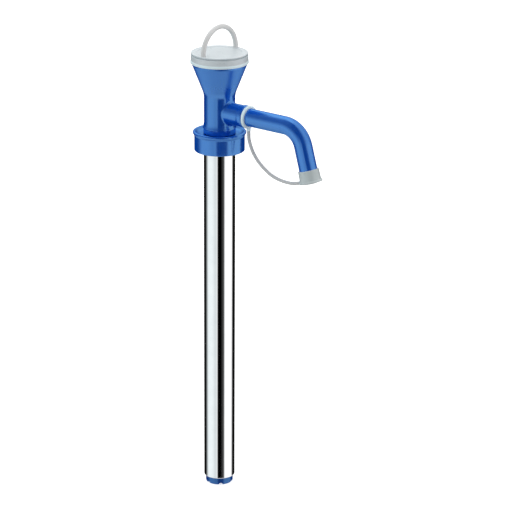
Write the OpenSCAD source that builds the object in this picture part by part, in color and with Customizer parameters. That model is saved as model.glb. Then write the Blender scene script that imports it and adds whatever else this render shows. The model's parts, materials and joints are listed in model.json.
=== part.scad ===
// Hand-operated lift pump for drums and barrels.
// The pump stands upright on +Z and its spout branch points along +X.
// The origin is on the pump's axis, level with the bottom rim of the drum collar.
// All lengths are in millimetres.

/* [Cylinder tube] */
// Outer diameter of the pump tube, a standard 1 1/2 inch size
tube_od = 38.1; // [37.5:0.1:39]
// Wall thickness of the pump tube
tube_wall = 0.8; // [0.6:0.1:1]
// Length of tube below the collar's rim
tube_drop = 423.5; // [320:0.5:900]

/* [Pump head] */
// Height of the spout branch's axis above the collar's rim
branch_z = 48.4; // [46:0.2:52]
// Distance from the pump's axis to the mouth of the branch socket
branch_reach = 42.4; // [40:0.2:48]
// Height at which the neck opens into the funnel
funnel_foot_z = 70; // [68:0.5:74]
// Height of the funnel's rim
funnel_rim_z = 114.7; // [113:0.1:115]
// Outer radius of the funnel's rim
funnel_rim_r = 32.8; // [31.5:0.1:33.2]

/* [Spout] */
// Outer diameter of the spout pipe
spout_od = 21.6; // [20:0.1:21.8]
// Wall thickness of the spout pipe
spout_wall = 1.9; // [1.5:0.1:2.2]
// Distance from the pump's axis to the start of the bend
spout_run = 99.2; // [80:0.2:140]
// Radius of the bend, measured to the pipe's centreline
bend_r = 28.5; // [24:0.5:40]
// Angle that the spout bends down through
bend_deg = 74; // [60:1:90]
// Straight length between the bend and the pipe's mouth
outlet_run = 39.6; // [36:0.2:60]

/* [Drum collar] */
// Outer diameter of the collar's skirt
collar_od = 60.8; // [60:0.2:62]
// Outer diameter of the collar's rolled lip
lip_od = 64.4; // [63.4:0.2:66]
// Height of the collar
collar_h = 24.3; // [23.5:0.1:25]
// Inner diameter of the skirt, which goes over the drum's neck
neck_socket_d = 54.8; // [54.6:0.1:55.2]

/* [Lid and handle] */
// Outer diameter of the lid
lid_od = 69.4; // [68.6:0.2:71]
// Height of the lid's top face
lid_top_z = 121; // [120.9:0.1:121.2]
// Diameter of the round bar that the handle is made of
handle_d = 6; // [5:0.2:6.4]
// Radius of the handle's arch, measured to the bar's centreline
handle_r = 30.4; // [29.4:0.1:30.6]

/* [Plunger] */
// Diameter of the piston rod
rod_d = 8; // [7:0.5:8]
// Number of flow ports through the piston
piston_ports = 6; // [4:1:8]

/* [Foot valve] */
// Outer diameter of the foot where it shows below the tube
foot_od = 33.6; // [32:0.2:34]
// Length of the foot below the tube's end
foot_drop = 9.2; // [8:0.1:12]
// Number of inlet notches round the foot's edge
foot_notches = 6; // [4:1:8]

/* [Hidden] */
$fn = 72;

blue = [0.13, 0.36, 0.76];
white_plastic = [0.88, 0.9, 0.91];
steel = [0.75, 0.76, 0.78];
bright_steel = [0.9, 0.91, 0.93];
rubber = [0.1, 0.1, 0.11];
brass = [0.8, 0.65, 0.3];
red_rubber = [0.6, 0.16, 0.12];
tiny = 0.01;

// Running clearances, radial
slip = 0.05;
rod_slip = 0.06;

// Tube
tube_r = tube_od / 2;
bore_r = tube_r - tube_wall;
swage_drop = 0.1;
swage_z = 2;
neck_in_r = tube_r - 0.8;
neck_in_z = 15.5;
tube_top_z = 28;
crimp_r = 1;
crimp_deg = 70;
tube_end_z = -tube_drop;
crimp_z = tube_end_z + crimp_r * sin(crimp_deg);

// Head
neck_r = tube_r - 0.25;
neck_bore_r = 15;
guide_seat_r = 16.3;
guide_z = 62;
spigot_r = neck_in_r - tube_wall - slip;
spigot_z = 12;
cover_r = 19.4;
cover_z = 21.5;
flare_rise = 1.3;
flare_r = neck_r + flare_rise;
flare_round = 20;
flare_turn = acos(1 - flare_rise / flare_round);
blend_r = 25;
funnel_wall = 2.3;
funnel_shoulder_z = 105.5;
funnel_slope = atan((funnel_rim_r - neck_r) / (funnel_shoulder_z - funnel_foot_z));
branch_r = spout_od / 2 + 2.2;
branch_bead = 0.6;
branch_bore_depth = 23.2;
branch_seat_x = branch_reach - branch_bore_depth;
branch_flow_r = spout_od / 2 - spout_wall;

// Seal rings are circles in section
seal_section_r = 0.83;
head_seal_section_r = 0.7;
head_seal_z = 22;

// Spout
spout_r = spout_od / 2;
spout_bore_r = spout_r - spout_wall;
socket_gap = 0.4;
spout_start_x = branch_seat_x + socket_gap;
snap_x = 31;
snap_rise = 0.4;
snap_half = 0.8;
o_ring_x = 25;
o_ring_section_r = 0.6;
bend_end_x = spout_run + bend_r * sin(bend_deg);
bend_end_z = branch_z - bend_r * (1 - cos(bend_deg));
cap_hidden = 11.3;
bend_step = 0.05;

// Tether and cap
ring_x = branch_reach + 0.6;
ring_w = 3.6;
ring_r = 13.8;
ring_bore_r = spout_r + 0.1;
lug_w = 4.4;
lug_reach = 16.6;
cap_wall = 1.5;
cap_floor = 4.1;
cap_flange_r = 14;
cap_flange_t = 2.2;
cap_crown = 1.6;
crown_half = cap_flange_r - 1.4;
crown_r = (crown_half * crown_half + cap_crown * cap_crown) / (2 * cap_crown);
crown_deg = asin(crown_half / crown_r);
cap_lug_reach = 16;
cap_rim_s = outlet_run - cap_hidden;
cap_end_s = outlet_run + cap_floor;
strap_r = 2.1;
strap_sides = 8;
strap_end_s = cap_end_s - cap_flange_t / 2;

// The strap's route from the ring's lug to the cap's lug, in the plane of the spout.
// It leaves the lug straight down, sags and comes back up to the cap's closed end.
strap_start = [ring_x + ring_w / 2, branch_z - lug_reach];
strap_stop = [
    bend_end_x + strap_end_s * cos(bend_deg) - cap_lug_reach * sin(bend_deg),
    bend_end_z - strap_end_s * sin(bend_deg) - cap_lug_reach * cos(bend_deg)
];
strap_hand_points = [
    [44.9, 27], [45.3, 22], [46.7, 17], [48.7, 12], [51.3, 7], [54.9, 2],
    [59.3, -3], [65.2, -8], [71.4, -12.2], [78, -15.9], [85.3, -18.5], [92.5, -20],
    [99.4, -20.8], [106, -20.9], [112, -20.5]
];
strap_lead = [
    strap_stop[0] - 5 * sin(bend_deg),
    strap_stop[1] - 5 * cos(bend_deg)
];
strap_route = concat([strap_start], strap_hand_points, [strap_lead], [strap_stop]);

// Collar
collar_r = collar_od / 2;
lip_r = lip_od / 2;
collar_bore_r = tube_r + 0.3;
socket_r = neck_socket_d / 2;
dish_r = 26.4;
dish_floor_z = 21;
dish_round = 1.6;
floor_under_z = 18.4;
hub_r = 22.9;
hub_z = 5.5;
grip_groove_r = 21.55;
grip_z = 7;
grip_h = 7;
gasket_h = 2;

// Lid and handle
lid_r = lid_od / 2;
lid_taper = 0.5;
lid_bottom_z = lid_top_z - 13.1;
lid_plate = 6;
lid_groove_z = lid_top_z - 1.6;
lid_bore_r = funnel_rim_r + 0.45;
lid_round = 1.2;
lid_pan_r = 26.5;
lid_pan_depth = 0.6;
lid_boss_r = 8;
lid_boss_z = 99.5;
rod_socket_top_z = 115.4;
peg_r = 2.2;
peg_depth = 3.8;
arch_z = lid_top_z + 0.1;

// Plunger
rod_r = rod_d / 2;
rod_end_r = 3;
rod_shoulder_z = -372;
rod_end_z = -401;
rod_top_z = 115;
lock_nut_af = 13;
lock_nut_h = 5;
piston_r = bore_r - 0.65;
cup_r = bore_r - slip;
piston_top_z = -379;
piston_h = 16;
cup_groove_r = 14;
cup_z = -390;
cup_h = 8;
port_r = 2.3;
port_ring_r = 9.2;
stop_h = 1.5;
spacer_r = 4.2;
valve_lift = 3;
valve_t = 2.1;
seat_gap = 0.1;
piston_nut_h = 5;
piston_nut_af = 10;

// Foot valve
foot_r = foot_od / 2;
foot_end_z = tube_end_z - foot_drop;
foot_body_top_z = -404;
foot_chamber_r = 13;
foot_chamber_top_z = -424;
foot_seat_z = -420;
foot_port_r = 7;
seat_lip_r = 8.6;
seat_lip_h = 0.5;
cage_ledge_z = -413;
cage_r = 15;
notch_r = 2.6;
foot_seal_z = -409.5;
disc_r = 11;
disc_t = 2.2;
stem_r = 2;
stem_top_z = -406;

// Points of an arc round c, from angle a0 to a1
function arc(c, r, a0, a1, n = 8) =
    [for (i = [0:n]) let (a = a0 + (a1 - a0) * i / n) [c[0] + r * cos(a), c[1] + r * sin(a)]];

// A ring of round section that lies flat, centred on the axis
module seal_ring(centre_r, section_r) {
    rotate_extrude() translate([centre_r, 0]) circle(r = section_r, $fn = 24);
}

// A cylinder between two heights
module drum(r, z0, z1) {
    translate([0, 0, z0]) cylinder(r = r, h = z1 - z0);
}

// A ring between two heights
module ring(r_out, r_in, z0, z1) {
    difference() {
        drum(r_out, z0, z1);
        drum(r_in, z0 - 1, z1 + 1);
    }
}

// A hexagon nut with a plain hole and chamfered corners
module hex_nut(af, h, hole_r) {
    corner_r = af / sqrt(3);
    difference() {
        intersection() {
            cylinder(r = corner_r, h = h, $fn = 6);
            rotate_extrude() polygon([
                [0, 0], [af / 2, 0], [corner_r, 0.6],
                [corner_r, h - 0.6], [af / 2, h], [0, h]
            ]);
        }
        translate([0, 0, -1]) cylinder(r = hole_r, h = h + 2);
    }
}

// Places its children with +Z along the spout branch
module along_branch() {
    translate([0, 0, branch_z]) rotate([0, 90, 0]) children();
}

// Places its children at the end of the bend, with +Z along the outlet
module along_outlet() {
    translate([bend_end_x, 0, bend_end_z]) rotate([0, 90 + bend_deg, 0]) children();
}

// A bar that follows the spout's centreline: the straight ends reach a little into the bend,
// which has its own radius, so that the three stretches join in one solid
module spout_bar(r, bend_bar_r, x0, end_s) {
    reach = 0.3;
    translate([x0, 0, branch_z]) rotate([0, 90, 0]) cylinder(r = r, h = spout_run + reach - x0);
    translate([spout_run, 0, branch_z - bend_r])
        rotate([90, 0, 0])
        rotate([0, 0, 90 - bend_deg])
        rotate_extrude(angle = bend_deg)
        translate([bend_r, 0]) circle(r = bend_bar_r);
    along_outlet() translate([0, 0, -reach]) cylinder(r = r, h = end_s + reach);
}

module head_outer() {
    cone_top = [funnel_rim_r, funnel_shoulder_z];
    blend_half = blend_r * tan(funnel_slope / 2);
    rotate_extrude() polygon(concat(
        [[0, spigot_z], [spigot_r - 0.8, spigot_z], [spigot_r, spigot_z + 1.5], [spigot_r, tube_top_z]],
        [[neck_in_r + slip, tube_top_z], [neck_in_r + slip, cover_z]],
        [[cover_r - 0.4, cover_z], [cover_r, cover_z + 0.4], [cover_r, tube_top_z - 0.4]],
        [[flare_r - 0.2, tube_top_z], [flare_r, tube_top_z + 0.4]],
        arc([neck_r + flare_round, tube_top_z + 1 + flare_round * sin(flare_turn)],
            flare_round, 180 + flare_turn, 180, 6),
        arc([neck_r + blend_r, funnel_foot_z - blend_half], blend_r, 180, 180 - funnel_slope, 6),
        [cone_top],
        [[funnel_rim_r, funnel_rim_z - 0.8], [funnel_rim_r - 0.8, funnel_rim_z], [0, funnel_rim_z]]
    ));
}

module head_cavity() {
    rim_in = funnel_rim_r - funnel_wall;
    rotate_extrude() polygon([
        [0, spigot_z - 1], [neck_bore_r, spigot_z - 1], [neck_bore_r, guide_z],
        [guide_seat_r, guide_z], [guide_seat_r, funnel_foot_z],
        [rim_in, funnel_shoulder_z], [rim_in, funnel_rim_z + 1], [0, funnel_rim_z + 1]
    ]);
}

module branch_outer() {
    along_branch() {
        cylinder(r = branch_r, h = branch_reach - 1);
        rotate_extrude() polygon(concat(
            [[0, branch_reach - 8], [branch_r, branch_reach - 8]],
            [[branch_r + branch_bead, branch_reach - 5]],
            arc([branch_r + branch_bead - 1.5, branch_reach - 1.5], 1.5, 0, 90, 5),
            [[0, branch_reach]]
        ));
    }
}

module head_body() {
    color(blue) difference() {
        union() {
            head_outer();
            branch_outer();
        }
        head_cavity();
        along_branch() {
            cylinder(r = branch_flow_r, h = branch_reach);
            translate([0, 0, branch_seat_x]) cylinder(r = spout_r + slip, h = branch_bore_depth + 1);
            translate([0, 0, snap_x - snap_half - 0.4])
                cylinder(r = spout_r + slip + snap_rise, h = 2 * snap_half + 0.8);
        }
        ring(spigot_r + 0.4, spigot_r + slip - 2 * head_seal_section_r - 0.02,
            head_seal_z - head_seal_section_r - 0.1, head_seal_z + head_seal_section_r + 0.1);
    }
}

module tube_seal_ring() {
    color(rubber) translate([0, 0, head_seal_z])
        seal_ring(spigot_r + slip - head_seal_section_r - 0.01, head_seal_section_r);
}

module cylinder_tube() {
    crimp_c = [tube_r - crimp_r, crimp_z];
    color(bright_steel) rotate_extrude() polygon(concat(
        arc(crimp_c, crimp_r, -crimp_deg, 0, 7),
        [[tube_r, swage_z - 0.5], [tube_r - swage_drop, swage_z]],
        [[tube_r - swage_drop, neck_in_z], [neck_in_r, neck_in_z + 1.5], [neck_in_r, tube_top_z]],
        [[neck_in_r - tube_wall, tube_top_z], [neck_in_r - tube_wall, neck_in_z + 1.5], [bore_r, neck_in_z]],
        arc(crimp_c, crimp_r - tube_wall, 0, -crimp_deg, 7)
    ));
}

module rod_guide() {
    arm_w = 3;
    guide_h = 4;
    hub_h = 8;
    color(white_plastic) difference() {
        union() {
            ring(guide_seat_r - slip, neck_bore_r - 1.4, guide_z, guide_z + guide_h);
            drum(rod_r + 3.2, guide_z, guide_z + hub_h);
            for (a = [45:90:315]) {
                rotate([0, 0, a]) translate([rod_r + 2, -arm_w / 2, guide_z])
                    cube([neck_bore_r - rod_r - 2.5, arm_w, guide_h]);
            }
        }
        drum(rod_r + rod_slip, guide_z - 1, guide_z + hub_h + 1);
    }
}

module spout_pipe() {
    color(blue) difference() {
        union() {
            spout_bar(spout_r, spout_r - bend_step, spout_start_x, outlet_run);
            translate([snap_x, 0, branch_z]) rotate([0, 90, 0]) rotate_extrude() polygon([
                [spout_r - 1, -snap_half], [spout_r, -snap_half],
                [spout_r + snap_rise - 0.05, -snap_half / 3], [spout_r + snap_rise - 0.05, snap_half / 3],
                [spout_r, snap_half], [spout_r - 1, snap_half]
            ]);
        }
        spout_bar(spout_bore_r, spout_bore_r + bend_step, spout_start_x - 1, outlet_run + 1);
        translate([o_ring_x - o_ring_section_r - 0.1, 0, 0]) along_branch()
            ring(spout_r + 1, spout_r - 2 * o_ring_section_r, 0, 2 * o_ring_section_r + 0.2);
    }
}

module spout_o_ring() {
    color(rubber) translate([o_ring_x, 0, 0]) along_branch()
        seal_ring(spout_r + slip - 0.02 - o_ring_section_r, o_ring_section_r);
}

module tether_ring() {
    round_r = 0.9;
    color(white_plastic) {
        translate([ring_x, 0, 0]) along_branch() rotate_extrude() polygon(concat(
            [[ring_bore_r, 0]],
            arc([ring_r - round_r, round_r], round_r, -90, 0, 4),
            arc([ring_r - round_r, ring_w - round_r], round_r, 0, 90, 4),
            [[ring_bore_r, ring_w]]
        ));
        translate([ring_x + 0.2, -lug_w / 2, branch_z - lug_reach])
            cube([ring_w - 0.4, lug_w, lug_reach - ring_r + 1]);
    }
}

// Unit tangent of the strap's route at point i
function strap_tangent(i) =
    let (
        n = len(strap_route) - 1,
        d = i == 0 ? [0, -1] : i == n ? [sin(bend_deg), cos(bend_deg)]
            : strap_route[i + 1] - strap_route[i - 1]
    ) d / norm(d);

// Ring of points round the strap's route at point i
function strap_ring(i) =
    let (p = strap_route[i], t = strap_tangent(i))
    [for (k = [0:strap_sides - 1])
        let (a = 360 * (k + 0.5) / strap_sides, u = strap_r * cos(a), v = strap_r * sin(a))
        [p[0] - t[1] * u, v, p[1] + t[0] * u]];

module tether_strap() {
    n = len(strap_route);
    s = strap_sides;
    points = [for (i = [0:n - 1]) each strap_ring(i)];
    sides = [for (i = [0:n - 2]) for (k = [0:s - 1])
        [i * s + k, i * s + (k + 1) % s, (i + 1) * s + (k + 1) % s, (i + 1) * s + k]];
    first = [[for (k = [s - 1:-1:0]) k]];
    last = [[for (k = [0:s - 1]) (n - 1) * s + k]];
    color(white_plastic) polyhedron(points, concat(sides, first, last));
}

module spout_cap() {
    sleeve_r = spout_r + slip + cap_wall;
    color(white_plastic) along_outlet() difference() {
        union() {
            rotate_extrude() polygon(concat(
                [[0, cap_rim_s], [sleeve_r - 0.3, cap_rim_s], [sleeve_r, cap_rim_s + 0.3]],
                [[sleeve_r + 0.4, cap_end_s - cap_flange_t - 1.2]],
                [[cap_flange_r - 0.6, cap_end_s - cap_flange_t]],
                arc([cap_flange_r - 0.8, cap_end_s - cap_flange_t + 0.8], 0.8, -45, 0, 3),
                arc([cap_flange_r - 0.8, cap_end_s - 0.8], 0.8, 0, 90, 4),
                arc([0, cap_end_s + cap_crown - crown_r], crown_r, 90 - crown_deg, 90, 6)
            ));
            translate([0, -lug_w / 2, cap_end_s - cap_flange_t + 0.05])
                cube([cap_lug_reach, lug_w, cap_flange_t - 0.1]);
        }
        translate([0, 0, cap_rim_s - 1]) cylinder(r = spout_r + slip, h = cap_hidden + 1 + 0.1);
    }
}

module drum_collar() {
    color(blue) difference() {
        rotate_extrude() polygon(concat(
            [[collar_bore_r, hub_z], [hub_r - 0.6, hub_z], [hub_r, hub_z + 0.6]],
            [[hub_r, floor_under_z], [socket_r, floor_under_z], [socket_r, 0.8], [socket_r + 0.5, 0]],
            arc([collar_r - 1, 1], 1, -90, 0, 5),
            [[collar_r, collar_h - 9], [collar_r + 0.25, collar_h - 7], [lip_r - 0.35, collar_h - 3.4]],
            arc([lip_r - 1.5, collar_h - 2.2], 1.5, -20, 0, 3),
            arc([lip_r - 1.5, collar_h - 1.5], 1.5, 0, 90, 5),
            arc([dish_r + 1, collar_h - 1], 1, 90, 180, 4),
            arc([dish_r - dish_round, dish_floor_z + dish_round], dish_round, 0, -90, 5),
            [[collar_bore_r, dish_floor_z]]
        ));
        drum(grip_groove_r, grip_z, grip_z + grip_h);
    }
}

module collar_grip_ring() {
    grip_r = grip_groove_r - slip;
    in_r = tube_r + slip;
    z0 = grip_z + 0.05;
    z1 = grip_z + grip_h - 0.05;
    color(rubber) rotate_extrude() polygon([
        [in_r, z0 + 0.5], [in_r + 0.5, z0], [grip_r - 0.4, z0], [grip_r, z0 + 0.4],
        [grip_r, z1 - 0.4], [grip_r - 0.4, z1], [in_r + 0.5, z1], [in_r, z1 - 0.5]
    ]);
}

module collar_gasket() {
    color(rubber) ring(socket_r - 0.05, hub_r + 0.05, floor_under_z - gasket_h, floor_under_z);
}

module pull_lid() {
    skirt_r = lid_r - lid_taper;
    color(white_plastic) difference() {
        rotate_extrude() polygon(concat(
            [[rod_r + slip, lid_boss_z], [lid_boss_r - 0.8, lid_boss_z], [lid_boss_r, lid_boss_z + 0.8]],
            [[lid_boss_r, lid_top_z - lid_plate - 1.5], [lid_boss_r + 1.5, lid_top_z - lid_plate]],
            [[lid_bore_r, lid_top_z - lid_plate], [lid_bore_r, lid_bottom_z]],
            [[skirt_r - 0.2, lid_bottom_z], [skirt_r + 0.3, lid_bottom_z + 0.5]],
            [[skirt_r + 0.3, lid_bottom_z + 1.3], [skirt_r, lid_bottom_z + 1.7]],
            arc([lid_r - 0.5, lid_groove_z - 1], 0.5, 0, 60, 3),
            [[lid_r - 1.3, lid_groove_z - 0.3], [lid_r - 1.3, lid_groove_z + 0.3]],
            arc([lid_r - 0.4 - lid_round, lid_top_z - lid_round], lid_round, -15, 90, 6),
            [[lid_pan_r + 0.6, lid_top_z], [lid_pan_r, lid_top_z - lid_pan_depth]],
            [[0, lid_top_z - lid_pan_depth], [0, rod_socket_top_z], [rod_r + slip, rod_socket_top_z]]
        ));
        for (side = [-1, 1]) {
            translate([0, side * handle_r, lid_top_z - peg_depth - 0.1]) cylinder(r = peg_r + slip, h = 10);
        }
    }
}

module pull_handle() {
    color(white_plastic) {
        translate([0, 0, arch_z]) rotate([90, 0, 90])
            rotate_extrude(angle = 180) translate([handle_r, 0]) circle(d = handle_d);
        for (side = [-1, 1]) {
            translate([0, side * handle_r, 0]) {
                drum(handle_d / 2, lid_top_z, arch_z);
                drum(peg_r, lid_top_z - peg_depth, lid_top_z + tiny);
            }
        }
    }
}

module piston_rod() {
    color(steel) {
        drum(rod_r, rod_shoulder_z, rod_top_z - 0.8);
        translate([0, 0, rod_top_z - 0.8]) cylinder(r1 = rod_r, r2 = rod_r - 0.8, h = 0.8);
        drum(rod_end_r, rod_end_z + 0.6, rod_shoulder_z);
        translate([0, 0, rod_end_z]) cylinder(r1 = rod_end_r - 0.6, r2 = rod_end_r, h = 0.6);
    }
}

module rod_lock_nut() {
    color(brass) translate([0, 0, lid_boss_z - lock_nut_h]) hex_nut(lock_nut_af, lock_nut_h, rod_r + slip);
}

module piston_body() {
    z0 = piston_top_z - piston_h;
    color(white_plastic) difference() {
        rotate_extrude() polygon([
            [rod_end_r + slip, z0], [piston_r - 1, z0], [piston_r, z0 + 1],
            [piston_r, cup_z - 0.1], [cup_groove_r, cup_z - 0.1],
            [cup_groove_r, cup_z + cup_h + 0.1], [piston_r, cup_z + cup_h + 0.1],
            [piston_r, piston_top_z - 0.6], [piston_r - 0.6, piston_top_z], [rod_end_r + slip, piston_top_z]
        ]);
        for (i = [0:piston_ports - 1]) {
            rotate([0, 0, 360 * i / piston_ports]) translate([port_ring_r, 0, z0 - 1])
                cylinder(r = port_r, h = piston_h + 2, $fn = 32);
        }
    }
}

module piston_cup() {
    z0 = cup_z;
    z1 = cup_z + cup_h;
    in_r = cup_groove_r + slip;
    color(red_rubber) rotate_extrude() polygon([
        [in_r, z0], [cup_r - 1, z0], [cup_r, z0 + 1.4], [cup_r, z1 - 0.4],
        [cup_r - 0.5, z1], [cup_r - 1.3, z1 - 3.6], [in_r + 1.2, z1 - 3.6], [in_r + 0.7, z1], [in_r, z1]
    ]);
}

module piston_valve_disc() {
    z0 = piston_top_z + seat_gap;
    color(rubber) ring(12.5, spacer_r + 0.08, z0, z0 + valve_t);
}

module piston_valve_stop() {
    z0 = rod_shoulder_z - stop_h;
    color(steel) ring(9, rod_end_r + slip, z0, z0 + stop_h);
}

module valve_spacer() {
    color(steel) ring(spacer_r, rod_end_r + slip, piston_top_z, rod_shoulder_z - stop_h);
}

module piston_nut() {
    color(brass) translate([0, 0, piston_top_z - piston_h - piston_nut_h])
        hex_nut(piston_nut_af, piston_nut_h, rod_end_r + slip);
}

module foot_valve_body() {
    body_r = bore_r - slip;
    groove_r = bore_r - 2 * seal_section_r - 0.02;
    color(blue) difference() {
        rotate_extrude() polygon(concat(
            [[0, foot_end_z]],
            arc([foot_r - 1.6, foot_end_z + 1.6], 1.6, -90, 0, 4),
            [[foot_r, tube_end_z + 0.9], [body_r - 0.8, tube_end_z + 1], [body_r, crimp_z]],
            [[body_r, foot_seal_z - seal_section_r - 0.1], [groove_r, foot_seal_z - seal_section_r - 0.1]],
            [[groove_r, foot_seal_z + seal_section_r + 0.1], [body_r, foot_seal_z + seal_section_r + 0.1]],
            [[body_r, foot_body_top_z - 0.8], [body_r - 0.8, foot_body_top_z], [0, foot_body_top_z]]
        ));
        drum(foot_chamber_r, foot_end_z - 1, foot_chamber_top_z);
        drum(foot_port_r, foot_end_z, foot_seat_z + 1);
        difference() {
            drum(cage_r - 1, foot_seat_z, cage_ledge_z + tiny);
            drum(seat_lip_r, foot_seat_z - 1, foot_seat_z + seat_lip_h);
        }
        drum(cage_r, cage_ledge_z, foot_body_top_z + 1);
        for (i = [0:foot_notches - 1]) {
            translate([0, 0, foot_end_z]) rotate([0, 90, 15 + 360 * i / foot_notches])
                translate([0, 0, foot_chamber_r - 2]) cylinder(r = notch_r, h = 10, $fn = 32);
        }
    }
}

module foot_valve_disc() {
    z0 = foot_seat_z + seat_lip_h + seat_gap;
    color(rubber) {
        drum(disc_r, z0, z0 + disc_t);
        drum(stem_r, z0 + disc_t - 1, stem_top_z);
    }
}

module foot_valve_cage() {
    z0 = cage_ledge_z;
    cage_h = 4;
    color(white_plastic) difference() {
        union() {
            ring(cage_r - slip, cage_r - 2.4, z0, z0 + cage_h);
            drum(stem_r + 2.2, z0, z0 + cage_h);
            for (a = [0:120:240]) {
                rotate([0, 0, a]) translate([stem_r + 1, -1.25, z0])
                    cube([cage_r - stem_r - 2.4, 2.5, cage_h]);
            }
        }
        drum(stem_r + rod_slip, z0 - 1, z0 + cage_h + 1);
    }
}

module foot_o_ring() {
    color(rubber) translate([0, 0, foot_seal_z]) seal_ring(bore_r - seal_section_r - 0.01, seal_section_r);
}

head_body();
cylinder_tube();
tube_seal_ring();
rod_guide();
spout_pipe();
spout_o_ring();
tether_ring();
tether_strap();
spout_cap();
drum_collar();
collar_grip_ring();
collar_gasket();
pull_lid();
pull_handle();
piston_rod();
rod_lock_nut();
piston_body();
piston_cup();
piston_valve_disc();
piston_valve_stop();
valve_spacer();
piston_nut();
foot_valve_body();
foot_valve_disc();
foot_valve_cage();
foot_o_ring();
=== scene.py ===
"""Looks of the drum barrel pump: materials, detailed pieces, studio light and camera.

Everything is in metres, in the frame of the CAD model: origin on the pump's axis at the bottom rim
of the drum collar, +Z up, +X along the spout branch.
"""
import json
import math

import bmesh
import bpy
from mathutils import Matrix, Vector


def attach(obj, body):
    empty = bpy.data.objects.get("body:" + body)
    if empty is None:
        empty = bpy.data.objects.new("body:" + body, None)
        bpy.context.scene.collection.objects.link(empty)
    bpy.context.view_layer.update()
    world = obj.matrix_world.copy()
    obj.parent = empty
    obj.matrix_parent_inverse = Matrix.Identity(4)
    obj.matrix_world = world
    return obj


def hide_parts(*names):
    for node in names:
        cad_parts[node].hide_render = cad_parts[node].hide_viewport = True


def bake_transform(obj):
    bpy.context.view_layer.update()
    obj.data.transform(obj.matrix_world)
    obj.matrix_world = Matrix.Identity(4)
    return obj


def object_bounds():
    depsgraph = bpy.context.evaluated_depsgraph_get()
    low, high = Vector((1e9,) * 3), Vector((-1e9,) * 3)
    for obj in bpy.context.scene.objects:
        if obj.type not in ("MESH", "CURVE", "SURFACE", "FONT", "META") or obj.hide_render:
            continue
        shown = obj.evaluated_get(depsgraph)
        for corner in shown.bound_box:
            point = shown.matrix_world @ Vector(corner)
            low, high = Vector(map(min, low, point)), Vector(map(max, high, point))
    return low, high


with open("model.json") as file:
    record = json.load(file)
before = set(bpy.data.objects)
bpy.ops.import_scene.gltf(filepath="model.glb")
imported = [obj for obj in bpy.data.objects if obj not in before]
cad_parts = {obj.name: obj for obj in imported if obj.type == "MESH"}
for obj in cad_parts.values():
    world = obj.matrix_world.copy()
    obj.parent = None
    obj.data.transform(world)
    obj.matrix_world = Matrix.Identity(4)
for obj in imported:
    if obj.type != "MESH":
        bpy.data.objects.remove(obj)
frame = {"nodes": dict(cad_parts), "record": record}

CAD_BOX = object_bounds()
NODES = frame["nodes"]
MM = 0.001

# The camera stands this far round from the branch's side and looks slightly down
CAMERA_AZIMUTH = math.radians(39.4)
CAMERA_DISTANCE = 2.8
CAMERA_HEIGHT = 0.8226
CAMERA_ROLL = 0.0052
CAMERA_AIM_RIGHT = 0.0415
CAMERA_AIM_Z = -0.1319
CAMERA_LENS = 172.1


def camera_axes():
    """Unit vectors from the pump to the camera and to the picture's right, both level."""
    a = CAMERA_AZIMUTH
    return Vector((math.sin(a), -math.cos(a), 0)), Vector((math.cos(a), math.sin(a), 0))


def make_camera():
    back, right = camera_axes()
    data = bpy.data.cameras.new("camera")
    data.lens = CAMERA_LENS
    data.clip_end = 50
    cam = bpy.data.objects.new("camera", data)
    bpy.context.scene.collection.objects.link(cam)
    cam.location = back * CAMERA_DISTANCE + Vector((0, 0, CAMERA_HEIGHT))
    aim = right * CAMERA_AIM_RIGHT + Vector((0, 0, CAMERA_AIM_Z))
    turn = (aim - cam.location).to_track_quat("-Z", "Y").to_matrix()
    cam.rotation_euler = (turn @ Matrix.Rotation(CAMERA_ROLL, 3, "Z")).to_euler()
    bpy.context.scene.camera = cam


make_camera()


# ---------------------------------------------------------------- node helpers

class Tree:
    """A short way to build a node tree."""

    def __init__(self, tree):
        self.tree = tree
        tree.nodes.clear()

    def node(self, kind, **values):
        n = self.tree.nodes.new(kind)
        for key, value in values.items():
            if hasattr(n, key) and key not in n.inputs:
                setattr(n, key, value)
            else:
                n.inputs[key.replace("_", " ")].default_value = value
        return n

    def link(self, a, b):
        self.tree.links.new(a, b)

    def math(self, op, *values):
        n = self.node("ShaderNodeMath", operation=op)
        for socket, value in zip(n.inputs, values):
            if isinstance(value, (int, float)):
                socket.default_value = value
            else:
                self.link(value, socket)
        return n.outputs[0]

    def ramp(self, fac, stops):
        """A linear ramp of greys or colours."""
        n = self.node("ShaderNodeValToRGB")
        while len(n.color_ramp.elements) < len(stops):
            n.color_ramp.elements.new(0.5)
        for e, (pos, value) in zip(n.color_ramp.elements, stops):
            e.position = pos
            e.color = (value, value, value, 1) if isinstance(value, (int, float)) else (*value, 1)
        self.link(fac, n.inputs[0])
        return n.outputs[0]


# ---------------------------------------------------------------- studio

# Directions round the pump, in degrees from the camera towards the picture's right, and how bright
# the studio is there: two tall soft boxes with dark flags between them. Glossy surfaces mirror these.
BANDS_BELOW_EYE = [
    (-180, 0.02), (-124, 0.0), (-113, 0.13), (-100, 0.6), (-90, 1.0), (-60, 1.0), (-46, 0.93), (-36, 0.82),
    (-28, 0.78), (-23, 0.88), (-17, 0.88), (-11.5, 0.0), (10, 0.0), (20, 0.03), (33, 0.1), (41, 1.1),
    (60, 1.2), (108, 1.2), (116, 0.0), (180, 0.02),
]
BANDS_ABOVE_EYE = [
    (-180, 1.5), (-152, 1.5), (-125, 0.6), (-105, 0.2), (-60, 0.12), (-35, 0.0), (20, 0.02), (35, 0.35),
    (60, 0.9), (120, 1.0), (150, 1.2), (180, 1.5),
]
BAND_PEAK = 1.5
# The same soft boxes as matt surfaces gather them
SOFT_BANDS = [
    (-180, 0.7), (-120, 0.9), (-75, 1.25), (-35, 0.75), (-10, 0.42), (30, 0.42), (75, 1.25), (120, 0.9), (180, 0.7),
]
SOFT_OVERHEAD = 0.95
SOFT_UNDERFOOT = 0.45
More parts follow.
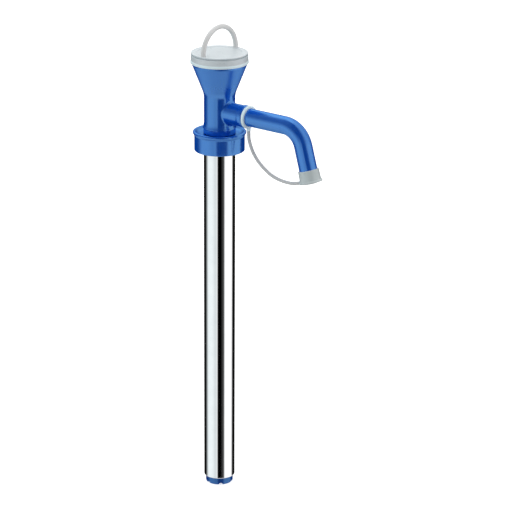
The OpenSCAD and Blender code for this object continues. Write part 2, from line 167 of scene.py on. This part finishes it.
# Heights run from 0 straight down to 1 straight up, with 0.5 level
PAPER_GLOW = [(0.05, 0.68), (0.15, 1.0), (0.24, 0.95)]
NEAR_FLOOR = [(0.235, 1.0), (0.285, 0.0)]
OVER_EYE = [(0.456, 0.0), (0.735, 1.0)]
OVERHEAD = [(0.62, 0.0), (0.9, 1.0)]
UNDERFOOT = [(0.2, 1.0), (0.42, 0.0)]
# The left soft box is a little cooler than the right one
COOL = (0.95, 1.02, 1.035)
COOL_BEFORE_TURN = -17


def band_ramp(t, fac, bands):
    """Brightness round the pump, as a share of the brightest band."""
    stops = []
    for turn, value in bands:
        v = value / BAND_PEAK
        stops.append(((turn + 180) / 360, tuple(c * v for c in COOL) if turn < COOL_BEFORE_TURN else v))
    return t.ramp(fac, stops)


def grey_mix(t, fac, a, b):
    """From a to b, where each is a number or a socket."""
    mix = t.node("ShaderNodeMix", data_type="RGBA")
    t.link(fac, mix.inputs["Factor"])
    for socket, value in ((mix.inputs["A"], a), (mix.inputs["B"], b)):
        if isinstance(value, (int, float)):
            socket.default_value = (value, value, value, 1)
        else:
            t.link(value, socket)
    return mix.outputs["Result"]


def make_world():
    """White to the camera, banded to glossy surfaces and soft to matt ones."""
    world = bpy.data.worlds.new("studio")
    bpy.context.scene.world = world
    world.use_nodes = True
    t = Tree(world.node_tree)
    back, right = camera_axes()
    coord = t.node("ShaderNodeTexCoord").outputs["Generated"]
    dots = []
    for axis in (back, right):
        d = t.node("ShaderNodeVectorMath", operation="DOT_PRODUCT")
        t.link(coord, d.inputs[0])
        d.inputs[1].default_value = axis
        dots.append(d.outputs["Value"])
    turn = t.math("MULTIPLY_ADD", t.math("ARCTAN2", dots[1], dots[0]), 1 / (2 * math.pi), 0.5)
    split = t.node("ShaderNodeSeparateXYZ")
    t.link(coord, split.inputs[0])
    height = t.math("MULTIPLY_ADD", split.outputs["Z"], 0.5, 0.5)
    below = band_ramp(t, turn, BANDS_BELOW_EYE)
    above = band_ramp(t, turn, BANDS_ABOVE_EYE)
    paper = t.ramp(height, [(h, v / BAND_PEAK) for h, v in PAPER_GLOW])
    near_floor = t.ramp(height, NEAR_FLOOR)
    over_eye = t.ramp(height, OVER_EYE)
    seen = grey_mix(t, over_eye, grey_mix(t, near_floor, below, paper), above)
    mirror = t.node("ShaderNodeBackground", Strength=BAND_PEAK)
    t.link(seen, mirror.inputs["Color"])
    overhead = t.ramp(height, OVERHEAD)
    underfoot = t.ramp(height, UNDERFOOT)
    gathered = grey_mix(t, overhead, band_ramp(t, turn, SOFT_BANDS), SOFT_OVERHEAD / BAND_PEAK)
    gathered = grey_mix(t, underfoot, gathered, SOFT_UNDERFOOT / BAND_PEAK)
    soft = t.node("ShaderNodeBackground", Strength=BAND_PEAK)
    t.link(gathered, soft.inputs["Color"])
    plain = t.node("ShaderNodeBackground", Strength=1.0, Color=(1, 1, 1, 1))
    path = t.node("ShaderNodeLightPath")
    glossy = t.node("ShaderNodeMixShader")
    t.link(path.outputs["Is Glossy Ray"], glossy.inputs[0])
    t.link(soft.outputs[0], glossy.inputs[1])
    t.link(mirror.outputs[0], glossy.inputs[2])
    pick = t.node("ShaderNodeMixShader")
    t.link(path.outputs["Is Camera Ray"], pick.inputs[0])
    t.link(glossy.outputs[0], pick.inputs[1])
    t.link(plain.outputs[0], pick.inputs[2])
    out = t.node("ShaderNodeOutputWorld")
    t.link(pick.outputs[0], out.inputs[0])


FLOOR_HALF_SIZE = 12
FLOOR_GAP = 0.1 * MM
FLOOR_GLOW = 0.62


def make_floor():
    """Plain pale paper under the foot, which only the camera sees."""
    h = FLOOR_HALF_SIZE
    z = CAD_BOX[0].z - FLOOR_GAP
    mesh = bpy.data.meshes.new("floor")
    mesh.from_pydata([(-h, -h, z), (h, -h, z), (h, h, z), (-h, h, z)], [], [(0, 1, 2, 3)])
    floor = bpy.data.objects.new("floor", mesh)
    bpy.context.scene.collection.objects.link(floor)
    mat = bpy.data.materials.new("floor_paper")
    mat.use_nodes = True
    t = Tree(mat.node_tree)
    paper = t.node("ShaderNodeBsdfDiffuse", Color=(0.9, 0.9, 0.9, 1))
    glow = t.node("ShaderNodeEmission", Color=(1, 1, 1, 1), Strength=FLOOR_GLOW)
    add = t.node("ShaderNodeAddShader")
    t.link(paper.outputs[0], add.inputs[0])
    t.link(glow.outputs[0], add.inputs[1])
    out = t.node("ShaderNodeOutputMaterial")
    t.link(add.outputs[0], out.inputs[0])
    mesh.materials.append(mat)
    floor.visible_glossy = False
    floor.visible_diffuse = False


TOP_LIGHT_UP = 1.9
TOP_LIGHT_BACK = 0.4
TOP_LIGHT_LEFT = 0.5
TOP_LIGHT_SIZE = 1.2
TOP_LIGHT_WATTS = 4
TOP_LIGHT_AIM = Vector((0, 0, -0.05))


def make_top_light():
    """One soft square lamp over the pump, a little to the camera's left."""
    back, right = camera_axes()
    data = bpy.data.lights.new("top_light", "AREA")
    data.shape = "SQUARE"
    data.size = TOP_LIGHT_SIZE
    data.energy = TOP_LIGHT_WATTS
    lamp = bpy.data.objects.new("top_light", data)
    bpy.context.scene.collection.objects.link(lamp)
    lamp.location = Vector((0, 0, TOP_LIGHT_UP)) + back * TOP_LIGHT_BACK - right * TOP_LIGHT_LEFT
    lamp.rotation_euler = (TOP_LIGHT_AIM - lamp.location).to_track_quat("-Z", "Y").to_euler()
    lamp.visible_glossy = False


bpy.context.scene.view_settings.view_transform = "Standard"
make_world()
make_floor()
make_top_light()


# ---------------------------------------------------------------- materials

def new_material(name):
    mat = bpy.data.materials.new(name)
    mat.use_nodes = True
    return mat, Tree(mat.node_tree)


def finish_material(t, shader, bump_height, bump_strength, bump_distance):
    """Adds fine bump to the shader and links it to the output."""
    bump = t.node("ShaderNodeBump", Strength=bump_strength, Distance=bump_distance)
    t.link(bump_height, bump.inputs["Height"])
    t.link(bump.outputs[0], shader.inputs["Normal"])
    out = t.node("ShaderNodeOutputMaterial")
    t.link(shader.outputs[0], out.inputs[0])


def object_coords(t):
    return t.node("ShaderNodeTexCoord").outputs["Object"]


def drawn_coords(t, squeeze):
    """Object coordinates squeezed along Z, so that noise on them runs in long drawn streaks."""
    co = object_coords(t)
    stretch = t.node("ShaderNodeMapping", Scale=(1, 1, squeeze))
    t.link(co, stretch.inputs[0])
    return co, stretch.outputs[0]


def noise(t, coord, scale, detail=3):
    n = t.node("ShaderNodeTexNoise", Scale=scale, Detail=detail, Roughness=0.55)
    t.link(coord, n.inputs["Vector"])
    return n.outputs["Fac"]


def between(t, fac, low, high):
    """A grey or a colour that wanders between two values with a noise."""
    return t.ramp(fac, [(0.3, low), (0.7, high)])


BLUE_DARK = Vector((0.0015, 0.073, 0.49))
BLUE_LIGHT = Vector((0.0025, 0.083, 0.555))
BLUE_GLOSS = Vector((0.2, 0.475, 0.79))
# The funnel's mould face, from this height in metres up, is less polished than the neck's
SATIN_FROM_Z = 0.07
SATIN_PER_METRE = 8
SATIN_MOST = 0.14


def blue_plastic(name="blue_moulded_plastic", shade=1.0):
    mat, t = new_material(name)
    co = object_coords(t)
    flow = noise(t, co, 22, 2)
    grain = noise(t, co, 2600, 2)
    s = t.node("ShaderNodeBsdfPrincipled", IOR=2.6)
    t.link(between(t, flow, BLUE_DARK * shade, BLUE_LIGHT * shade), s.inputs["Base Color"])
    polish = between(t, noise(t, co, 160), 0.15, 0.21)
    up = t.node("ShaderNodeSeparateXYZ")
    t.link(co, up.inputs[0])
    satin = t.math("MULTIPLY_ADD", up.outputs["Z"], SATIN_PER_METRE, -SATIN_FROM_Z * SATIN_PER_METRE)
    satin.node.use_clamp = True
    t.link(t.math("ADD", polish, t.math("MINIMUM", satin, SATIN_MOST)), s.inputs["Roughness"])
    s.inputs["Specular IOR Level"].default_value = 1.0
    s.inputs["Specular Tint"].default_value = (*(BLUE_GLOSS * shade), 1)
    finish_material(t, s, grain, 0.05, 0.05 * MM)
    return mat


def white_plastic(name="natural_white_plastic", colour=(0.645, 0.7, 0.73)):
    mat, t = new_material(name)
    co = object_coords(t)
    cloud = noise(t, co, 45, 3)
    light = tuple(min(1, c * 1.07) for c in colour)
    s = t.node("ShaderNodeBsdfPrincipled", IOR=1.75)
    t.link(between(t, cloud, colour, light), s.inputs["Base Color"])
    t.link(between(t, noise(t, co, 240), 0.27, 0.37), s.inputs["Roughness"])
    s.inputs["Subsurface Weight"].default_value = 0.25
    s.inputs["Subsurface Radius"].default_value = (0.9, 1.0, 1.0)
    s.inputs["Subsurface Scale"].default_value = 2 * MM
    finish_material(t, s, noise(t, co, 1800, 2), 0.08, 0.06 * MM)
    return mat


def chrome():
    mat, t = new_material("chromed_tube")
    co, streaks = drawn_coords(t, 0.02)
    draw = noise(t, streaks, 900, 2)
    s = t.node("ShaderNodeBsdfPrincipled", Metallic=1.0)
    t.link(between(t, noise(t, co, 60), (0.86, 0.87, 0.88), (0.92, 0.925, 0.93)), s.inputs["Base Color"])
    t.link(between(t, draw, 0.035, 0.07), s.inputs["Roughness"])
    finish_material(t, s, draw, 0.02, 0.02 * MM)
    return mat


def steel():
    mat, t = new_material("drawn_steel")
    _, streaks = drawn_coords(t, 0.03)
    draw = noise(t, streaks, 1500)
    s = t.node("ShaderNodeBsdfPrincipled", Metallic=1.0)
    t.link(between(t, draw, (0.5, 0.51, 0.53), (0.66, 0.67, 0.68)), s.inputs["Base Color"])
    t.link(between(t, draw, 0.2, 0.34), s.inputs["Roughness"])
    finish_material(t, s, draw, 0.12, 0.05 * MM)
    return mat


def brass():
    mat, t = new_material("turned_brass")
    co = object_coords(t)
    s = t.node("ShaderNodeBsdfPrincipled", Metallic=1.0)
    t.link(between(t, noise(t, co, 300), (0.62, 0.42, 0.14), (0.78, 0.58, 0.25)), s.inputs["Base Color"])
    t.link(between(t, noise(t, co, 900), 0.22, 0.38), s.inputs["Roughness"])
    finish_material(t, s, noise(t, co, 2200), 0.1, 0.05 * MM)
    return mat


def rubber(name="black_rubber", dark=(0.012, 0.012, 0.013), light=(0.03, 0.03, 0.032)):
    mat, t = new_material(name)
    co = object_coords(t)
    s = t.node("ShaderNodeBsdfPrincipled", IOR=1.5)
    t.link(between(t, noise(t, co, 220), dark, light), s.inputs["Base Color"])
    t.link(between(t, noise(t, co, 700), 0.5, 0.72), s.inputs["Roughness"])
    finish_material(t, s, noise(t, co, 2400, 4), 0.25, 0.08 * MM)
    return mat


MATERIALS = {
    "blue_moulding": blue_plastic(),
    "chrome_tube": chrome(),
    "natural_white": white_plastic(),
    "white_inner": white_plastic("white_inner_plastic", (0.74, 0.74, 0.72)),
    "rod_steel": steel(),
    "nut_brass": brass(),
    "seal_rubber": rubber(),
    "cup_rubber": rubber("red_cup_rubber", (0.14, 0.02, 0.012), (0.24, 0.04, 0.025)),
}
# The thin lid bead and the tether ring get a brighter, bluish white: painted glow, standing in for light passing
# through their thin plastic. The handle, strap and cap differ a little in tone.
PAINTED_GLOW_WHITE = white_plastic("natural_white_painted_glow", (0.76, 0.92, 1.0))
HANDLE_WHITE = white_plastic("natural_white_handle", (0.7, 0.7, 0.7))
STRAP_WHITE = white_plastic("natural_white_strap", (0.55, 0.555, 0.56))
CAP_WHITE = white_plastic("natural_white_cap", (0.51, 0.57, 0.58))
# The foot gets a darkened copy of the same blue: painted shade, because the foot sits in shade
PAINTED_SHADE_FOOT_BLUE = blue_plastic("blue_moulded_foot_painted_shade", 0.58)
# The tether ring takes the painted glow white
NODE_LOOKS = {"tether_ring": PAINTED_GLOW_WHITE, "pull_handle": HANDLE_WHITE, "spout_cap": CAP_WHITE,
              # The foot takes the painted shade blue
              "foot_valve_body": PAINTED_SHADE_FOOT_BLUE}


def dress_cad_nodes():
    for part in frame["record"]["subparts"]:
        obj = NODES[part["node"]]
        obj.data.materials.clear()
        obj.data.materials.append(NODE_LOOKS.get(part["node"]) or MATERIALS[part["material_slot"]])


dress_cad_nodes()


# ---------------------------------------------------------------- mesh helpers

SHARP_FROM_DEG = 32


def place_mesh(name, verts, faces, slot, body, material=None):
    """A piece from points in millimetres, which takes its finish from a slot and rides on a body."""
    mesh = bpy.data.meshes.new(name)
    mesh.from_pydata([Vector(v) * MM for v in verts], [], faces)
    bm = bmesh.new()
    bm.from_mesh(mesh)
    bmesh.ops.remove_doubles(bm, verts=bm.verts, dist=1e-7)
    bmesh.ops.recalc_face_normals(bm, faces=bm.faces)
    bm.to_mesh(mesh)
    bm.free()
    mesh.polygons.foreach_set("use_smooth", [True] * len(mesh.polygons))
    mesh.set_sharp_from_angle(angle=math.radians(SHARP_FROM_DEG))
    mesh.materials.append(material or MATERIALS[slot])
    obj = bpy.data.objects.new(name, mesh)
    bpy.context.scene.collection.objects.link(obj)
    if body is not None:
        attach(obj, body)
    return obj


def loft(rings, joined=False):
    """Vertices and faces of a skin over rings of the same number of points, capped or joined end to end."""
    n = len(rings[0])
    verts = [p for ring in rings for p in ring]
    last = len(rings) if joined else len(rings) - 1
    faces = []
    for i in range(last):
        a, b = i * n, ((i + 1) % len(rings)) * n
        faces += [(a + k, a + (k + 1) % n, b + (k + 1) % n, b + k) for k in range(n)]
    if not joined:
        faces.append(tuple(range(n - 1, -1, -1)))
        faces.append(tuple((len(rings) - 1) * n + k for k in range(n)))
    return verts, faces


LATHE_STEPS = 192


def lathe(profile):
    """A closed profile of (radius, height) turned about the pump's axis."""
    rings = []
    for i in range(LATHE_STEPS):
        a = 2 * math.pi * i / LATHE_STEPS
        rings.append([(r * math.cos(a), r * math.sin(a), z) for r, z in profile])
    return loft(rings, joined=True)


def arc(centre, radius, start, end, steps=8):
    """Points of an arc, angles in degrees."""
    out = []
    for i in range(steps + 1):
        a = math.radians(start + (end - start) * i / steps)
        out.append((centre[0] + radius * math.cos(a), centre[1] + radius * math.sin(a)))
    return out


SPAN_STEPS = 4


def smooth_route(points):
    """A smooth curve through the points, by Catmull-Rom."""
    pts = [Vector(p) for p in points]
    pts = [2 * pts[0] - pts[1]] + pts + [2 * pts[-1] - pts[-2]]
    out = []
    for i in range(1, len(pts) - 2):
        a, b, c, d = pts[i - 1:i + 3]
        for k in range(SPAN_STEPS):
            t = k / SPAN_STEPS
            out.append(0.5 * (2 * b + (c - a) * t + (2 * a - 5 * b + 4 * c - d) * t * t
                              + (3 * b - 3 * c + d - a) * t ** 3))
    out.append(pts[-2])
    return out


def sweep(route, section):
    """A bar along a route in the XZ plane. section gives points (in the plane, across it)."""
    rings = []
    for i, p in enumerate(route):
        t = (route[min(i + 1, len(route) - 1)] - route[max(i - 1, 0)]).normalized()
        side = Vector((-t.z, 0, t.x))
        rings.append([p + side * u + Vector((0, v, 0)) for u, v in section])
    return loft(rings)


# ---------------------------------------------------------------- tether strap, a short cord

# The strap's route from the ring's lug to the cap's lug, in metres, as in the CAD model
STRAP_ROUTE = [
    (0.0448, 0.0318), (0.0449, 0.027), (0.0453, 0.022), (0.0467, 0.017), (0.0487, 0.012),
    (0.0513, 0.007), (0.0549, 0.002), (0.0593, -0.003), (0.0652, -0.008), (0.0714, -0.0122),
    (0.078, -0.0159), (0.0853, -0.0185), (0.0925, -0.02), (0.0994, -0.0208), (0.106, -0.0209),
    (0.112, -0.0205), (0.11815, -0.01898), (0.12296, -0.0176),
]
STRAP_WIDTH = 4.2
STRAP_SECTION_STEPS = 28
STRAP_RIDGE = 0.16
STRAP_SQUARENESS = 0.85


def strap_section():
    """A flattened round with a fine parting ridge down each edge."""
    points = []
    for i in range(STRAP_SECTION_STEPS):
        a = 2 * math.pi * i / STRAP_SECTION_STEPS
        ridge = STRAP_RIDGE if abs(math.cos(a)) > 0.99 else 0
        u = (STRAP_WIDTH / 2 - 0.1 + ridge) * math.copysign(abs(math.cos(a)) ** STRAP_SQUARENESS, math.cos(a))
        v = (STRAP_WIDTH / 2 - 0.05) * math.copysign(abs(math.sin(a)) ** STRAP_SQUARENESS, math.sin(a))
        points.append((u, v))
    return points


def make_strap():
    route = smooth_route([(x / MM, 0, z / MM) for x, z in STRAP_ROUTE])
    verts, faces = sweep(route, strap_section())
    strap = place_mesh("tether_strap_moulded", verts, faces, "natural_white", None, STRAP_WHITE)
    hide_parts("tether_strap")
    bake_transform(strap)


# ---------------------------------------------------------------- lid with rolled rim

LID_RIM_R = 34.7
LID_TOP_Z = 121
LID_BOTTOM_Z = 107.9
LID_BEAD_Z = 111.3
LID_BORE_R = 33.25
LID_PAN_R = 27.3
LID_PLATE_Z = 115
LID_GROOVE_DEPTH = 2.0


def make_lid():
    """The lid with its boss, its raised rim, a fine groove under the shoulder and a bead round its lower edge."""
    skirt_r = LID_RIM_R - 0.5
    groove_r = skirt_r - LID_GROOVE_DEPTH
    pan_z = LID_TOP_Z - 0.6
    profile = [(0.01, 115.4), (4.05, 115.4), (4.05, 99.5)]
    profile += arc((7.2, 100.3), 0.8, -90, 0)
    profile += [(8, 113.4), (9.5, LID_PLATE_Z), (LID_BORE_R, LID_PLATE_Z), (LID_BORE_R, LID_BEAD_Z - 0.1)]
    profile += [(skirt_r - 0.1, LID_BEAD_Z - 0.1), (skirt_r, LID_BEAD_Z + 0.4), (skirt_r + 0.15, LID_TOP_Z - 3.1)]
    profile += [(groove_r, LID_TOP_Z - 2.9), (groove_r, LID_TOP_Z - 1.8)]
    profile += arc((LID_RIM_R - 1.5, LID_TOP_Z - 0.9), 0.9, -40, 90)
    profile += [(LID_PAN_R, LID_TOP_Z)]
    profile += arc((LID_PAN_R, LID_TOP_Z - 0.8), 0.8, 90, 165, 4)
    profile += [(26.0, pan_z), (2.6, pan_z), (2.4, pan_z - 0.15), (0.01, pan_z - 0.15)]
    verts, faces = lathe(profile)
    lid = place_mesh("pull_lid_moulded", verts, faces, "natural_white", "plunger")
    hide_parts("pull_lid")
    bead_r = LID_RIM_R - 0.55
    bead = [(LID_BORE_R, LID_BEAD_Z), (LID_BORE_R, LID_BOTTOM_Z)]
    bead += arc((bead_r, LID_BOTTOM_Z + 0.7), 0.7, -90, 0, 5)
    bead += arc((bead_r, LID_BEAD_Z - 0.8), 0.7, 0, 70, 5)
    bead += [(skirt_r - 0.2, LID_BEAD_Z)]
    verts, faces = lathe(bead)
    # The bead takes the painted glow white: light through its thin edge is painted into its colour
    place_mesh("pull_lid_edge_bead", verts, faces, "natural_white", "plunger", PAINTED_GLOW_WHITE)


# ---------------------------------------------------------------- collar with its rolled lip

COLLAR_BORE_R = 19.35
COLLAR_HUB_R = 22.9
COLLAR_SOCKET_R = 27.4
COLLAR_FLOOR_UNDER_Z = 18.4
COLLAR_GROOVE_R = 21.55


def make_collar():
    """The collar with a round lip that flows down into the dish, its socket and the grip ring's groove."""
    profile = [(COLLAR_BORE_R, 5.5), (COLLAR_HUB_R - 0.6, 5.5), (COLLAR_HUB_R, 6.1)]
    profile += [(COLLAR_HUB_R, COLLAR_FLOOR_UNDER_Z), (COLLAR_SOCKET_R, COLLAR_FLOOR_UNDER_Z)]
    profile += [(COLLAR_SOCKET_R, 0.8), (COLLAR_SOCKET_R + 0.5, 0)]
    profile += arc((29.4, 1.0), 1.0, -90, 0, 6)
    profile += arc((32.2, COLLAR_FLOOR_UNDER_Z), 1.8, 180, 128, 6)
    profile += arc((30.2, 22.3), 2.0, -38, 140, 22)
    profile += [(27.2, 22.3), (26.0, 21.6), (24.6, 21.2), (22.8, 21.05), (COLLAR_BORE_R, 21)]
    profile += [(COLLAR_BORE_R, 14), (COLLAR_GROOVE_R, 14), (COLLAR_GROOVE_R, 7), (COLLAR_BORE_R, 7)]
    verts, faces = lathe(profile)
    collar = place_mesh("drum_collar_moulded", verts, faces, "blue_moulding", "collar")
    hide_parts("drum_collar")


# ---------------------------------------------------------------- fillet where the branch leaves the neck

NECK_R = 18.8
BRANCH_R = 13
BRANCH_Z = 48.4
FILLET_R = 4.0
FILLET_STEPS_ROUND = 144
FILLET_STEPS_ACROSS = 12


def make_branch_fillet():
    """The surface a ball leaves when it rolls round the corner between neck and branch."""
    rings = []
    for i in range(FILLET_STEPS_ROUND):
        a = 2 * math.pi * i / FILLET_STEPS_ROUND
        y, w = (BRANCH_R + FILLET_R) * math.sin(a), (BRANCH_R + FILLET_R) * math.cos(a)
        x = math.sqrt((NECK_R + FILLET_R) ** 2 - y * y)
        centre = Vector((x, y, w))
        on_branch = Vector((x, BRANCH_R * math.sin(a), BRANCH_R * math.cos(a))) - centre
        on_neck = Vector((x, y, 0)) * (NECK_R / (NECK_R + FILLET_R)) + Vector((0, 0, w)) - centre
        ring = []
        for k in range(FILLET_STEPS_ACROSS + 1):
            toward = on_branch.slerp(on_neck, k / FILLET_STEPS_ACROSS).normalized()
            ring.append(centre + toward * (FILLET_R + 0.02))
        # The last point closes the ring inside the plastic
        middle = (ring[0] + ring[-1]) / 2
        ring.append(middle - (centre - middle).normalized() * 1.6)
        rings.append([p + Vector((0, 0, BRANCH_Z)) for p in ring])
    verts, faces = loft(rings, joined=True)
    place_mesh("branch_root_fillet", verts, faces, "blue_moulding", "pump_body")


# ---------------------------------------------------------------- rod thread

THREAD_PITCH = 1.25
THREAD_BASE_R = 3.95
THREAD_CREST_R = 4.28
THREAD_START_Z = 80.5
THREAD_TURNS = 11
THREAD_STEPS_PER_TURN = 48


def make_rod_thread():
    """The rolled thread at the rod's upper end, under the lid's lock nut."""
    rings = []
    for i in range(THREAD_TURNS * THREAD_STEPS_PER_TURN + 1):
        turn = i / THREAD_STEPS_PER_TURN
        a = 2 * math.pi * turn
        z = THREAD_START_Z + THREAD_PITCH * turn
        crest = THREAD_BASE_R + (THREAD_CREST_R - THREAD_BASE_R) * min(1, turn, THREAD_TURNS - turn)
        section = [(THREAD_BASE_R, -0.5), (crest, -0.08), (crest, 0.08), (THREAD_BASE_R, 0.5)]
        section.append((THREAD_BASE_R - 0.5, 0))
        rings.append([Vector((r * math.cos(a), r * math.sin(a), z + dz)) for r, dz in section])
    verts, faces = loft(rings)
    place_mesh("rod_thread", verts, faces, "rod_steel", "plunger")


# ---------------------------------------------------------------- parting lines of the mouldings

PIPE_R = 10.8
BEND_START_X = 99.2
BEND_R = 28.5
BEND_DEG = 74
BEND_STEPS = 24
NECK_FLARE_R = 25
NECK_FLARE_Z = 65.4


def make_parting_lines():
    """Fine raised seams where the two halves of each mould met."""
    seam = [(0.14 * math.cos(a), 0.3 * math.sin(a)) for a in (2 * math.pi * k / 12 for k in range(12))]
    back = [(-NECK_R, 37), (-NECK_R, 64)]
    for deg in (4, 8, 12, 16):
        a = math.radians(deg)
        back.append((-NECK_R - NECK_FLARE_R + NECK_FLARE_R * math.cos(a), NECK_FLARE_Z + NECK_FLARE_R * math.sin(a)))
    back.append((-32.75, 105.5))
    verts, faces = sweep([Vector((x, 0, z)) for x, z in back], seam)
    place_mesh("head_parting_line", verts, faces, "blue_moulding", "pump_body")
    for name, reach in (("spout_parting_line_top", PIPE_R), ("spout_parting_line_under", -PIPE_R)):
        route = [Vector((x, 0, BRANCH_Z + reach)) for x in (47.2, 60, 80, BEND_START_X)]
        for k in range(1, BEND_STEPS + 1):
            a = math.radians(BEND_DEG * k / BEND_STEPS)
            x, z = (BEND_R + reach) * math.sin(a), (BEND_R + reach) * math.cos(a)
            route.append(Vector((BEND_START_X + x, 0, BRANCH_Z - BEND_R + z)))
        bend = math.radians(BEND_DEG)
        out = Vector((math.cos(bend), 0, -math.sin(bend)))
        route += [route[-1] + out * 12, route[-1] + out * 27]
        verts, faces = sweep(route, seam)
        place_mesh(name, verts, faces, "blue_moulding", "spout")


make_strap()
make_lid()
make_collar()
make_branch_fillet()
make_rod_thread()
make_parting_lines()
